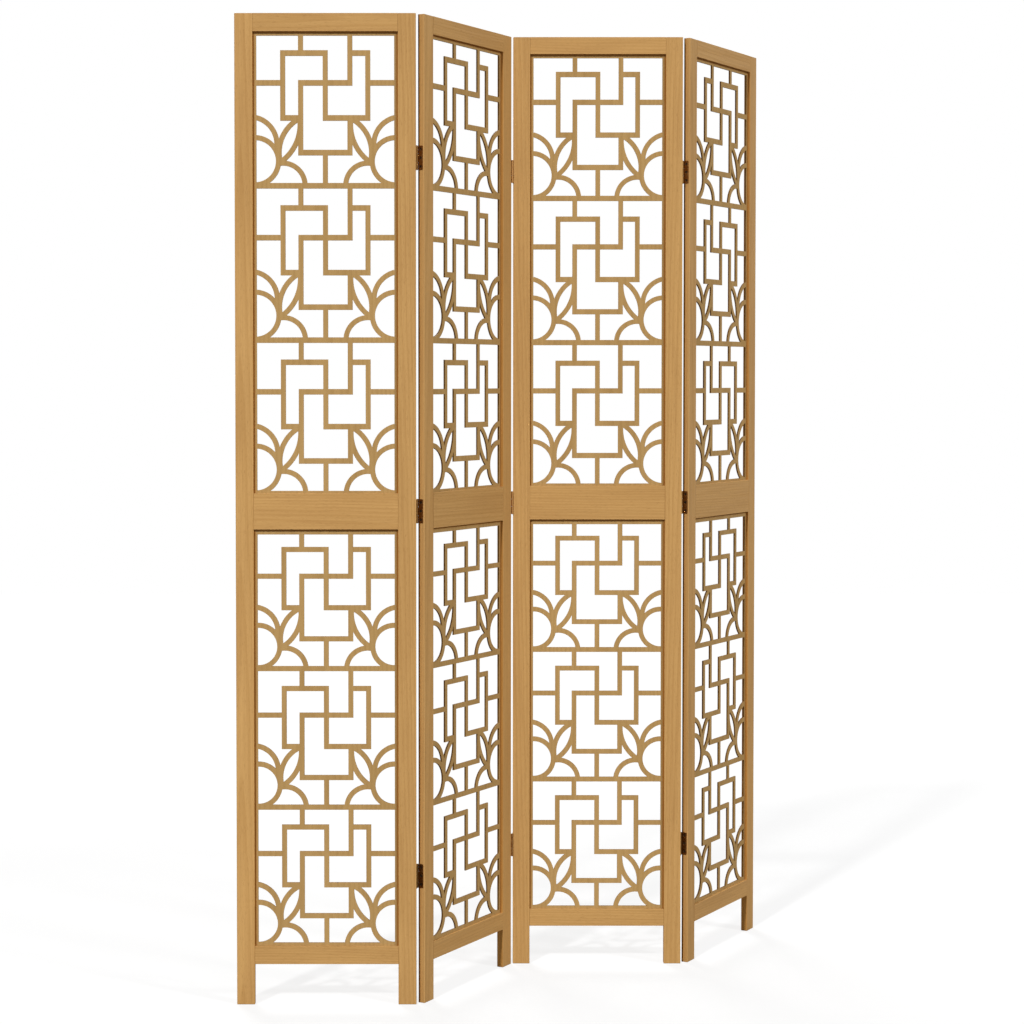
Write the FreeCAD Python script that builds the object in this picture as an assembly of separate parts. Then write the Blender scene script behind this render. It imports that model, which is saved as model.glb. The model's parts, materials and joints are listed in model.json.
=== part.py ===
import FreeCAD, Part
import os

# Folding screen of four framed lattice panels, in millimetres and degrees.
# +Z is up, the screen faces -Y, and the origin is the middle of its footprint on the floor.
# A panel is drawn in its own frame: u from its left edge, v from its front face, z from the floor.

Vector = FreeCAD.Vector

# Panel frame
PANEL_W = 300.0
HEIGHT = 1650.0
THICKNESS = 12.0
STILE_W = 30.0
TOP_RAIL_H = 30.0
MID_RAIL_H = 60.0
BOTTOM_RAIL_H = 30.0
FOOT_H = 68.0
UPPER_OPENING_H = 764.0
EDGE_EASE = 0.8

# Lattice sheets and the grooves that hold them
SHEET_T = 3.0
SHEET_TONGUE = 7.5
GROOVE_END_CLEAR = 0.5
GROOVE_SIDE_CLEAR = 0.1

# Lattice pattern: borders, straight bars, curved bands, and how the cells fill the opening
SIDE_BORDER = 6.0
POST_W = 8.4
CURVE_W = 8.5
UPPER_RUNG_H = 9.4
UPPER_BORDER_TOP = 6.6
UPPER_BORDER_FOOT = 4.1
UPPER_CELL_DROP = 3.3
UPPER_CELL_TAIL = 5.8
LOWER_RUNG_H = 8.6
LOWER_BORDER_TOP = 8.7
LOWER_BORDER_FOOT = 5.2
LOWER_CELL_DROP = 4.7
LOWER_CELL_TAIL = 3.9
CELLS = 3

# Rail dowels
DOWEL_R = 3.0
DOWEL_DEPTH = 12.0
DOWEL_END_CLEAR = 0.5
DOWEL_FIT = 0.05

# Butt hinges: the pin stands just proud of the faces that fold together
HINGE_L = 40.0
HINGE_GAP = 3.0
PIVOT_PROUD = 1.0
LEAF_T = 1.0
LEAF_SETBACK = 2.3
LEAF_CORNER_R = 1.5
PIN_R = 0.9
PIN_RUN_CLEAR = 0.05
PIN_HEAD_R = 1.5
PIN_HEAD_H = 0.6
KNUCKLE_GAP = 0.3
BARREL_CLEAR = 0.35
TOP_HINGE_DROP = 237.0
BOTTOM_HINGE_RISE = 214.0

# Hinge screws
SCREW_R = 1.2
SCREW_STOP = 4.5
SCREW_TIP_L = 2.5
SCREW_EDGE = 5.5
SCREW_FIT = 0.05
SLOT_W = 0.5
SLOT_L = 2.8
SLOT_DEPTH = 0.5

# How the screen stands: each hinge line opened this far from flat, by turns one way and the other
FOLD = 60.0

# Sizes and heights worked out from the values above
KNUCKLE_R = PIN_R + PIN_RUN_CLEAR + LEAF_T
BARREL_R = KNUCKLE_R + BARREL_CLEAR
LEAF_REACH = THICKNESS - LEAF_SETBACK
SCREW_PITCH = HINGE_L / 2 - SCREW_EDGE
SCREW_L = LEAF_T + STILE_W - DOWEL_DEPTH - DOWEL_END_CLEAR - SCREW_STOP
GROOVE_DEPTH = SHEET_TONGUE + GROOVE_END_CLEAR
GROOVE_W = SHEET_T + 2 * GROOVE_SIDE_CLEAR
OVERRUN = THICKNESS
OPENING_W = PANEL_W - 2 * STILE_W
HALF_CELL_W = OPENING_W / 2 - SIDE_BORDER

BOTTOM_RAIL_Z = FOOT_H
LOWER_OPENING_Z = BOTTOM_RAIL_Z + BOTTOM_RAIL_H
UPPER_OPENING_Z = HEIGHT - TOP_RAIL_H - UPPER_OPENING_H
MID_RAIL_Z = UPPER_OPENING_Z - MID_RAIL_H
TOP_RAIL_Z = HEIGHT - TOP_RAIL_H
HINGE_HEIGHTS = {
    "top": HEIGHT - TOP_HINGE_DROP,
    "middle": MID_RAIL_Z + MID_RAIL_H / 2,
    "bottom": BOTTOM_HINGE_RISE,
}

# Pattern of one cell. Across: shares of the half width between the borders, right of the middle.
# Down: shares of the cell's height, from its top.
POST_SHARES = {"p1": -0.6175, "p2": -0.3575, "p3": 0, "p4": 0.3575, "p5": 0.6175}
RUNG_SHARES = {"top": 0, "r1": 0.1246, "r2": 0.3167, "r3": 0.543, "r4": 0.7668, "foot": 0.981}

# Straight runs between the named posts and rungs
POSTS = (
    ("p2", "top", "r1"), ("p4", "top", "r2"), ("p1", "r1", "r3"), ("p3", "r1", "r3"),
    ("p5", "r1", "r3"), ("p2", "r2", "r4"), ("p4", "r3", "r4"), ("p3", "r4", "foot"),
)
RUNGS = (
    ("r1", "p1", "p3"), ("r1", "p4", "p5"), ("r2", "left", "p1"), ("r2", "p2", "p4"),
    ("r2", "p5", "right"), ("r3", "p1", "p2"), ("r3", "p3", "p5"), ("r4", "p2", "p4"),
    ("foot", "left", "right"),
)

# Curved bands of the half flower at each side: the start, middle and end of each centreline arc
BAND_SHARES = {
    "flower_ring": ((1.005, 0.670), (0.681, 0.827), (1.005, 0.9745)),
    "upper_petal": ((1.005, 0.5405), (0.7965, 0.5988), (0.715, 0.755)),
    "leaf_outer": ((0.368, 0.545), (0.654, 0.7043), (0.6525, 0.8305)),
    "leaf_inner": ((0.371, 0.548), (0.443, 0.7229), (0.658, 0.83)),
    "lower_petal": ((0.667, 0.8365), (0.387, 0.8778), (0.2965, 0.9845)),
}

# Which face folds together at each junction, from panel 1-2 to panel 3-4
VALLEYS = ("back", "front", "back")
PANELS = 4
MIRRORED_PANELS = (4,)


def block(u0, v0, z0, u1, v1, z1):
    """Box between two opposite corners, given in any order."""
    low = Vector(min(u0, u1), min(v0, v1), min(z0, z1))
    high = Vector(max(u0, u1), max(v0, v1), max(z0, z1))
    size = high - low
    return Part.makeBox(size.x, size.y, size.z, low)


def upright_bar(x0, z0, x1, z1):
    """Flat rectangle in the sheet's plane."""
    corners = [Vector(x0, 0, z0), Vector(x1, 0, z0), Vector(x1, 0, z1), Vector(x0, 0, z1)]
    return Part.Face(Part.makePolygon(corners + corners[:1]))


def arc_centre(start, middle, end):
    """Centre of the circle through three points of the sheet's plane."""
    return Part.Arc(start, middle, end).toShape().Curve.Center


def band(start, middle, end, width):
    """Flat curved band of even width along the arc through three points."""
    if (middle - start).cross(end - start).y < 0:
        # Every outline runs the same way round, as the bars' outlines do
        start, end = end, start
    centre = arc_centre(start, middle, end)
    radius = (middle - centre).Length
    rims = []
    for rim_radius in (radius - width / 2, radius + width / 2):
        rims.append([centre + (point - centre).normalize() * rim_radius
                     for point in (start, middle, end)])
    inner, outer = rims
    edges = [
        Part.Arc(*inner).toShape(),
        Part.LineSegment(inner[-1], outer[-1]).toShape(),
        Part.Arc(*outer[::-1]).toShape(),
        Part.LineSegment(outer[0], inner[0]).toShape(),
    ]
    return Part.Face(Part.Wire(edges))


def cell(top, pitch, rung_h):
    """Flat bars and bands of one pattern cell that hangs from the given height."""
    across = {name: share * HALF_CELL_W for name, share in POST_SHARES.items()}
    down = {name: top - share * pitch for name, share in RUNG_SHARES.items()}
    faces = []
    for post, upper, lower in POSTS:
        faces.append(upright_bar(across[post] - POST_W / 2, down[lower] - rung_h / 2,
                                 across[post] + POST_W / 2, down[upper] + rung_h / 2))
    ends = dict(across, left=-HALF_CELL_W, right=HALF_CELL_W)
    for rung, left, right in RUNGS:
        faces.append(upright_bar(ends[left] - POST_W / 2, down[rung] - rung_h / 2,
                                 ends[right] + POST_W / 2, down[rung] + rung_h / 2))
    for arc_shares in BAND_SHARES.values():
        for side in (-1, 1):
            points = [Vector(side * x_share * HALF_CELL_W, 0, top - z_share * pitch)
                      for x_share, z_share in arc_shares]
            faces.append(band(*points, CURVE_W))
    return faces


def sheet_border(bottom, top, border_foot, border_top):
    """Four flat strips of the sheet's edge, from the tongue in the groove to the openwork."""
    half = OPENING_W / 2 + SHEET_TONGUE
    low = bottom - SHEET_TONGUE
    high = top + SHEET_TONGUE
    return [
        upright_bar(-half, low, half, bottom + border_foot),
        upright_bar(-half, top - border_top, half, high),
        upright_bar(-half, low, -HALF_CELL_W, high),
        upright_bar(HALF_CELL_W, low, half, high),
    ]


def lattice(bottom, top, border_foot, border_top, drop, tail, rung_h):
    """One pierced sheet, in the middle of the panel's width and thickness."""
    pitch = (top - bottom - drop + tail) / CELLS
    faces = sheet_border(bottom, top, border_foot, border_top)
    for index in range(CELLS):
        faces += cell(top - drop - index * pitch, pitch, rung_h)
    flat = faces[0].multiFuse(faces[1:]).removeSplitter()
    outline = max(flat.Faces, key=lambda face: face.Area)
    # Ends of bars and arcs may reach under the frame, so the sheet is cut to its own outline
    half = OPENING_W / 2 + SHEET_TONGUE
    sheet = outline.common(upright_bar(-half, bottom - SHEET_TONGUE, half, top + SHEET_TONGUE))
    solid = sheet.Faces[0].extrude(Vector(0, SHEET_T, 0))
    solid.translate(Vector(PANEL_W / 2, (THICKNESS - SHEET_T) / 2, 0))
    return solid


def dowel_heights(rail_z, rail_h, groove_below, groove_above):
    """Heights of the two dowels at a rail's end, clear of its grooves."""
    low = rail_z + (GROOVE_DEPTH if groove_below else 0)
    high = rail_z + rail_h - (GROOVE_DEPTH if groove_above else 0)
    return (low + (high - low) / 4, high - (high - low) / 4)


RAILS = {
    "bottom_rail": (BOTTOM_RAIL_Z, BOTTOM_RAIL_H, False, True),
    "mid_rail": (MID_RAIL_Z, MID_RAIL_H, True, True),
    "top_rail": (TOP_RAIL_Z, TOP_RAIL_H, True, False),
}
OPENINGS = ((LOWER_OPENING_Z, MID_RAIL_Z), (UPPER_OPENING_Z, TOP_RAIL_Z))


def dowels(radius, depth):
    """Cylinders along u at every rail end, both sides of the stile's inner face."""
    solids = []
    for rail_values in RAILS.values():
        for height in dowel_heights(*rail_values):
            for joint_u in (STILE_W, PANEL_W - STILE_W):
                base = Vector(joint_u - depth, THICKNESS / 2, height)
                solids.append(Part.makeCylinder(radius, 2 * depth, base, Vector(1, 0, 0)))
    return solids


def dowel_holes():
    """Holes for the dowels, a little wider and deeper than they are."""
    return dowels(DOWEL_R + DOWEL_FIT, DOWEL_DEPTH + DOWEL_END_CLEAR)


def groove_depths():
    """Front and back of the groove, centred in the thickness."""
    front = (THICKNESS - GROOVE_W) / 2
    return front, front + GROOVE_W


def rail(rail_z, rail_h, groove_below, groove_above):
    """Rail between the stiles, grooved along the edges that meet a sheet."""
    front, back = groove_depths()
    left, right = STILE_W, PANEL_W - STILE_W
    solid = block(left, 0, rail_z, right, THICKNESS, rail_z + rail_h)
    grooves = []
    if groove_below:
        grooves.append(block(left - OVERRUN, front, rail_z - OVERRUN, right + OVERRUN, back, rail_z + GROOVE_DEPTH))
    if groove_above:
        top = rail_z + rail_h
        grooves.append(block(left - OVERRUN, front, top - GROOVE_DEPTH, right + OVERRUN, back, top + OVERRUN))
    return solid.cut(grooves + dowel_holes())


def hinge_pivot(side, valley):
    """Place of the hinge line beside a panel's edge, in u and v."""
    u = -HINGE_GAP / 2 if side == "left" else PANEL_W + HINGE_GAP / 2
    v = THICKNESS + PIVOT_PROUD if valley == "back" else -PIVOT_PROUD
    return u, v


def hinge_signs(side, valley):
    """Which way the panel's wood lies from its hinge line, along u and v."""
    return (1 if side == "left" else -1), (-1 if valley == "back" else 1)


def screw_seats():
    """Heights of a leaf's screws about its middle, and their distance in from the hinge line."""
    inner = BARREL_R
    outer = PIVOT_PROUD + LEAF_REACH
    return (-SCREW_PITCH, 0, SCREW_PITCH), (inner + outer) / 2


def screw_cutters(side, valley, fit):
    """Screw-shaped solids of all three hinges at one edge: the screws, or their holes with a fit."""
    u0, v0 = hinge_pivot(side, valley)
    su, sv = hinge_signs(side, valley)
    offsets, seat = screw_seats()
    head_u = u0 + su * (HINGE_GAP / 2 - LEAF_T)
    along = Vector(su, 0, 0)
    head_r = SCREW_R + LEAF_T
    shank_l = SCREW_L - LEAF_T - SCREW_TIP_L
    solids = []
    for hinge_z in HINGE_HEIGHTS.values():
        for offset in offsets:
            base = Vector(head_u, v0 + sv * seat, hinge_z + offset)
            head = Part.makeCone(head_r + fit, SCREW_R + fit, LEAF_T, base, along)
            shank = Part.makeCylinder(SCREW_R + fit, shank_l, base + along * LEAF_T, along)
            tip_base = base + along * (LEAF_T + shank_l)
            tip = Part.makeCone(SCREW_R + fit, fit, SCREW_TIP_L, tip_base, along)
            solids.append(head.fuse([shank, tip]).removeSplitter())
    return solids


def screws(side, valley):
    """The countersunk screws of one edge's leaves, with a cross slot in each head."""
    u0, v0 = hinge_pivot(side, valley)
    su, sv = hinge_signs(side, valley)
    offsets, seat = screw_seats()
    head_u = u0 + su * (HINGE_GAP / 2 - LEAF_T)
    places = [(hinge_z + offset) for hinge_z in HINGE_HEIGHTS.values() for offset in offsets]
    solids = []
    for solid, z in zip(screw_cutters(side, valley, 0), places):
        v = v0 + sv * seat
        u_from, u_to = head_u - su * SLOT_DEPTH, head_u + su * SLOT_DEPTH
        lengthwise = block(u_from, v - SLOT_W / 2, z - SLOT_L / 2, u_to, v + SLOT_W / 2, z + SLOT_L / 2)
        crosswise = block(u_from, v - SLOT_L / 2, z - SLOT_W / 2, u_to, v + SLOT_L / 2, z + SLOT_W / 2)
        solids.append(solid.cut([lengthwise, crosswise]))
    return solids


def stile(side, valley):
    """Upright board of one side, its foot included; valley is None on a free edge."""
    front, back = groove_depths()
    u0, u1 = (0, STILE_W) if side == "left" else (PANEL_W - STILE_W, PANEL_W)
    outer_u = u0 if side == "left" else u1
    solid = block(u0, 0, 0, u1, THICKNESS, HEIGHT)
    arrises = [edge for edge in solid.Edges
               if edge.BoundBox.ZLength > STILE_W and abs(edge.CenterOfMass.x - outer_u) < EDGE_EASE]
    solid = solid.makeFillet(EDGE_EASE, arrises)
    inner_u, depth = (u1, -GROOVE_DEPTH) if side == "left" else (u0, GROOVE_DEPTH)
    cuts = dowel_holes()
    for bottom, top in OPENINGS:
        cuts.append(block(inner_u + depth, front, bottom - GROOVE_DEPTH,
                          inner_u - depth, back, top + GROOVE_DEPTH))
    if valley:
        cuts += screw_cutters(side, valley, SCREW_FIT)
        pivot_u, pivot_v = hinge_pivot(side, valley)
        relief_l = HINGE_L + 2 * (PIN_HEAD_H + BARREL_CLEAR)
        for hinge_z in HINGE_HEIGHTS.values():
            base = Vector(pivot_u, pivot_v, hinge_z - relief_l / 2)
            cuts.append(Part.makeCylinder(BARREL_R, relief_l, base))
    return solid.cut(cuts)


def knuckle_spans(ends):
    """Height spans of a leaf's knuckles about its middle: the two ends, or the middle one."""
    third = HINGE_L / 3
    if ends:
        return ((-HINGE_L / 2, -third / 2 - KNUCKLE_GAP / 2), (third / 2 + KNUCKLE_GAP / 2, HINGE_L / 2))
    return ((-third / 2 + KNUCKLE_GAP / 2, third / 2 - KNUCKLE_GAP / 2),)


def leaf(side, valley, hinge_z):
    """Hinge leaf screwed to a panel's edge; a right edge carries the end knuckles."""
    u0, v0 = hinge_pivot(side, valley)
    su, sv = hinge_signs(side, valley)
    u_face, u_wood = u0 + su * (HINGE_GAP / 2 - LEAF_T), u0 + su * HINGE_GAP / 2
    v_in, v_out = v0 + sv * BARREL_R, v0 + sv * (PIVOT_PROUD + LEAF_REACH)
    plate = block(u_face, v_in, hinge_z - HINGE_L / 2, u_wood, v_out, hinge_z + HINGE_L / 2)
    corners = [edge for edge in plate.Edges
               if abs(edge.CenterOfMass.y - v_out) < LEAF_CORNER_R and edge.BoundBox.ZLength < LEAF_T / 2]
    solid = plate.makeFillet(LEAF_CORNER_R, corners)
    bores = []
    for low, high in knuckle_spans(side == "right"):
        neck = block(u_face, v0, hinge_z + low, u_wood, v_in, hinge_z + high)
        base = Vector(u0, v0, hinge_z + low)
        knuckle = Part.makeCylinder(KNUCKLE_R, high - low, base)
        solid = solid.fuse([neck, knuckle])
        bore_base = base - Vector(0, 0, OVERRUN)
        bores.append(Part.makeCylinder(PIN_R + PIN_RUN_CLEAR, high - low + 2 * OVERRUN, bore_base))
    return solid.cut(bores + screw_cutters(side, valley, SCREW_FIT)).removeSplitter()


def pin(u, v, hinge_z):
    """Hinge pin with a small head above and below the knuckles."""
    bottom = hinge_z - HINGE_L / 2
    shaft = Part.makeCylinder(PIN_R, HINGE_L, Vector(u, v, bottom))
    foot = Part.makeCylinder(PIN_HEAD_R, PIN_HEAD_H, Vector(u, v, bottom - PIN_HEAD_H))
    head = Part.makeCylinder(PIN_HEAD_R, PIN_HEAD_H, Vector(u, v, bottom + HINGE_L))
    return shaft.fuse([foot, head]).removeSplitter()


def upper_lattice():
    return lattice(UPPER_OPENING_Z, TOP_RAIL_Z, UPPER_BORDER_FOOT, UPPER_BORDER_TOP,
                   UPPER_CELL_DROP, UPPER_CELL_TAIL, UPPER_RUNG_H)


def lower_lattice():
    return lattice(LOWER_OPENING_Z, MID_RAIL_Z, LOWER_BORDER_FOOT, LOWER_BORDER_TOP,
                   LOWER_CELL_DROP, LOWER_CELL_TAIL, LOWER_RUNG_H)


def panel_places():
    """Placement of each panel and the hinge lines, from panel 1 laid along +X at the origin."""
    places = [FreeCAD.Placement()]
    lines = []
    angle = 0.0
    for valley in VALLEYS:
        right_u, right_v = hinge_pivot("right", valley)
        line = places[-1].multVec(Vector(right_u, right_v, 0))
        angle += FOLD if valley == "back" else -FOLD
        turn = FreeCAD.Rotation(Vector(0, 0, 1), angle)
        left_u, left_v = hinge_pivot("left", valley)
        places.append(FreeCAD.Placement(line - turn.multVec(Vector(left_u, left_v, 0)), turn))
        lines.append(line)
    return places, lines


def build():
    """All pieces by name, each a list of solids in the screen's own frame."""
    places, lines = panel_places()
    sheets = {"upper_lattice": upper_lattice(), "lower_lattice": lower_lattice()}
    pieces = {}
    for number in range(1, PANELS + 1):
        left_valley = VALLEYS[number - 2] if number > 1 else None
        right_valley = VALLEYS[number - 1] if number < PANELS else None
        parts = {
            "left_stile": [stile("left", left_valley)],
            "right_stile": [stile("right", right_valley)],
            "dowels": dowels(DOWEL_R, DOWEL_DEPTH),
            "hinge_screws": [],
        }
        for name, values in RAILS.items():
            parts[name] = [rail(*values)]
        for name, sheet in sheets.items():
            copy = sheet.copy()
            if number in MIRRORED_PANELS:
                copy = copy.mirror(Vector(PANEL_W / 2, 0, 0), Vector(1, 0, 0))
            parts[name] = [copy]
        for side, valley in (("left", left_valley), ("right", right_valley)):
            if valley:
                parts["hinge_screws"] += screws(side, valley)
        for name, solids in parts.items():
            pieces[f"panel_{number}_{name}"] = [placed(solid, places[number - 1]) for solid in solids]
    for index, valley in enumerate(VALLEYS):
        junction = f"hinge_{index + 1}{index + 2}"
        line_u, line_v = lines[index].x, lines[index].y
        for level, hinge_z in HINGE_HEIGHTS.items():
            left = placed(leaf("right", valley, hinge_z), places[index])
            right = placed(leaf("left", valley, hinge_z), places[index + 1])
            pieces[f"{junction}_{level}_left_leaf"] = [left]
            pieces[f"{junction}_{level}_right_leaf"] = [right]
        pieces[f"{junction}_pins"] = [pin(line_u, line_v, z) for z in HINGE_HEIGHTS.values()]
    return pieces, lines


def placed(solid, place):
    """Copy of a solid, moved from its panel's frame to where the panel stands."""
    copy = solid.copy()
    copy.transformShape(place.toMatrix(), True)
    return copy


def export():
    """Centre the screen over the origin and write one file for each piece."""
    pieces, lines = build()
    whole = Part.makeCompound([solid for solids in pieces.values() for solid in solids])
    box = whole.BoundBox
    shift = Vector(-(box.XMin + box.XMax) / 2, -(box.YMin + box.YMax) / 2, 0)
    os.makedirs("parts", exist_ok=True)
    for name, solids in pieces.items():
        for solid in solids:
            solid.translate(shift)
        shape = solids[0] if len(solids) == 1 else Part.makeCompound(solids)
        shape.exportStep(f"parts/{name}.step")
        print(name, len(solids), "solids, valid:", shape.isValid(), f"volume {shape.Volume:.1f}")
    for line in lines:
        place = line + shift
        print(f"hinge line at {place.x:.4f}, {place.y:.4f}")
    print(f"box {box.XLength:.3f} x {box.YLength:.3f} x {box.ZLength:.3f}")


export()
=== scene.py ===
"""Carved jali screen: the dressed model of a four-panel folding screen with pierced lattice sheets.

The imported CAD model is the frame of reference. Every panel keeps its place, its thickness and its joints, and
this script planes the boards, cuts the pierced sheets, dresses the hinges and sets up a plain pale studio.
Lengths are in metres. A panel's own frame has u along its width, v from its front to its back and z up.
"""

from __future__ import annotations

import json
import logging
import math
import zlib
from dataclasses import dataclass
from enum import Enum
from typing import Iterable, Optional, Sequence, Union

import bmesh
import bpy
import numpy as np
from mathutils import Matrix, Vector
from mathutils.geometry import delaunay_2d_cdt


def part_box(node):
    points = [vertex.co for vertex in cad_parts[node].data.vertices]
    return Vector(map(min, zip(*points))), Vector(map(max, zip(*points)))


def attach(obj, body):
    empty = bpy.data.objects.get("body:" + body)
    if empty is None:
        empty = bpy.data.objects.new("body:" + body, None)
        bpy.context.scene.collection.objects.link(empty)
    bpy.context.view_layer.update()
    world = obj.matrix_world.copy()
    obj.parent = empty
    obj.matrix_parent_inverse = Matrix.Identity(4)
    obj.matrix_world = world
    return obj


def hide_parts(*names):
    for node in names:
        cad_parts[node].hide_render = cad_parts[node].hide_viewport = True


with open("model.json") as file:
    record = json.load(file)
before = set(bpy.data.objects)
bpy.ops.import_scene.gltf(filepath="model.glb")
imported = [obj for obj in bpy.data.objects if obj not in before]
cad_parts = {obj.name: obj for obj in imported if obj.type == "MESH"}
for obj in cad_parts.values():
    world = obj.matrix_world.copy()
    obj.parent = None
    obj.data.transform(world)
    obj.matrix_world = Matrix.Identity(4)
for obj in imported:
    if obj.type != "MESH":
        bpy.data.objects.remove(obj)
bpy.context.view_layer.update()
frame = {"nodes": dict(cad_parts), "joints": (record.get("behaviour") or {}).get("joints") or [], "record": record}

LOG = logging.getLogger("jali_screen")
MM = 0.001
QUARTER_TURN = math.pi / 2.0
LEVELS = ("top", "middle", "bottom")
DRIFT_DIVISORS = (1.0, 2.3, 4.1)
WHITE = (1.0, 1.0, 1.0)

Colour = tuple[float, float, float]
Value = Union[float, Sequence[float], bpy.types.NodeSocket]


class Valley(Enum):
    """The side towards which two neighbouring panels lean together while the screen stands."""

    BACK = 1.0
    FRONT = -1.0


class Run(Enum):
    """Which way a board's length and its grain run."""

    UPRIGHT = "z"
    LEVEL = "u"


class Edge(Enum):
    """A board's narrow side, at the low or the high end of its width."""

    LOW = 0
    HIGH = 1


def seeded(name: str) -> np.random.Generator:
    """Random numbers that belong to a name, seeded from its checksum and the same on every run."""
    return np.random.default_rng(zlib.crc32(name.encode()))


def wander(where: np.ndarray, name: str, wave: float) -> np.ndarray:
    """A slow smooth drift along a length, between about -1 and 1.

    The drift is the mean of three sines whose wavelengths are wave, wave / 2.3 and wave / 4.1.

    Args:
        where: Places along the length.
        name: The name that the phases belong to.
        wave: The longest wavelength.

    Returns:
        The drift at each place.
    """
    phases = seeded(name).uniform(0.0, 2.0 * math.pi, len(DRIFT_DIVISORS))
    waves = wave / np.array(DRIFT_DIVISORS)
    return np.sin(2.0 * math.pi * where[:, None] / waves + phases).mean(axis=1)


def body_of(node: str) -> str:
    """The CAD body that a node belongs to."""
    return next(body for body, nodes in frame["record"]["behaviour"]["bodies"].items() if node in nodes)


def linked(name: str, data: bpy.types.ID) -> bpy.types.Object:
    """Makes an object and puts it into the scene.

    Args:
        name: The object's name.
        data: Its mesh, lens or lamp.

    Returns:
        The object.
    """
    made = bpy.data.objects.new(name, data)
    bpy.context.scene.collection.objects.link(made)
    return made


@dataclass(frozen=True)
class PanelPlace:
    """Where one panel stands: its lowest front left corner and its turn about the upright axis."""

    number: int
    origin: tuple[float, float]
    angle: float

    def turn(self) -> np.ndarray:
        """The 2 by 2 matrix that turns (u, v) into the frame's (x, y)."""
        c, s = math.cos(self.angle), math.sin(self.angle)
        return np.array([[c, -s], [s, c]])

    def to_frame(self, points: np.ndarray) -> np.ndarray:
        """Carries points from the panel's frame (u, v, z) to the CAD frame (x, y, z)."""
        flat = points[:, :2] @ self.turn().T + np.array(self.origin)
        return np.column_stack([flat, points[:, 2]])

    def to_panel(self, points: np.ndarray) -> np.ndarray:
        """Carries points from the CAD frame (x, y, z) to the panel's frame (u, v, z)."""
        flat = (points[:, :2] - np.array(self.origin)) @ self.turn()
        return np.column_stack([flat, points[:, 2]])


@dataclass(frozen=True)
class HingeLine:
    """How the leaves sit between two panels: the gap between the panels, and how far the pin stands out."""

    gap: float = 3.0 * MM
    proud: float = 1.0 * MM

    def places(self, joints: Sequence[dict]) -> list[PanelPlace]:
        """Walks from the first panel over the joints and finds each panel's place.

        A panel's turn is the sum of the folds before it, each signed by its valley. Its origin is the pin's
        place less the turned offset of the pin from the panel's corner.

        Args:
            joints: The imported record's joints, from left to right.

        Returns:
            The places of all the panels.
        """
        low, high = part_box("panel_1_left_stile")
        thickness = high.y - low.y
        found = [PanelPlace(1, (low.x, low.y), 0.0)]
        for number, joint in enumerate(joints, start=2):
            valley = Valley.BACK if joint["axis"][2] > 0.0 else Valley.FRONT
            fold = math.radians(-joint["range_deg"][0]) * valley.value
            angle = found[-1].angle + fold
            depth = thickness + self.proud if valley is Valley.BACK else -self.proud
            turned = PanelPlace(number, (0.0, 0.0), angle).turn() @ np.array([-self.gap / 2.0, depth])
            origin = np.array(joint["pos_m"][:2]) - turned
            found.append(PanelPlace(number, (float(origin[0]), float(origin[1])), angle))
        return found


@dataclass(frozen=True)
class Texture:
    """A noise: its waves in a metre along each axis, its number of finer layers and their strength."""

    waves: tuple[float, float, float]
    layers: float
    rough: float


@dataclass(frozen=True)
class Step:
    """A smooth step from the value low to the value high, while its input goes from start to end."""

    start: float
    end: float
    low: float = 0.0
    high: float = 1.0


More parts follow.
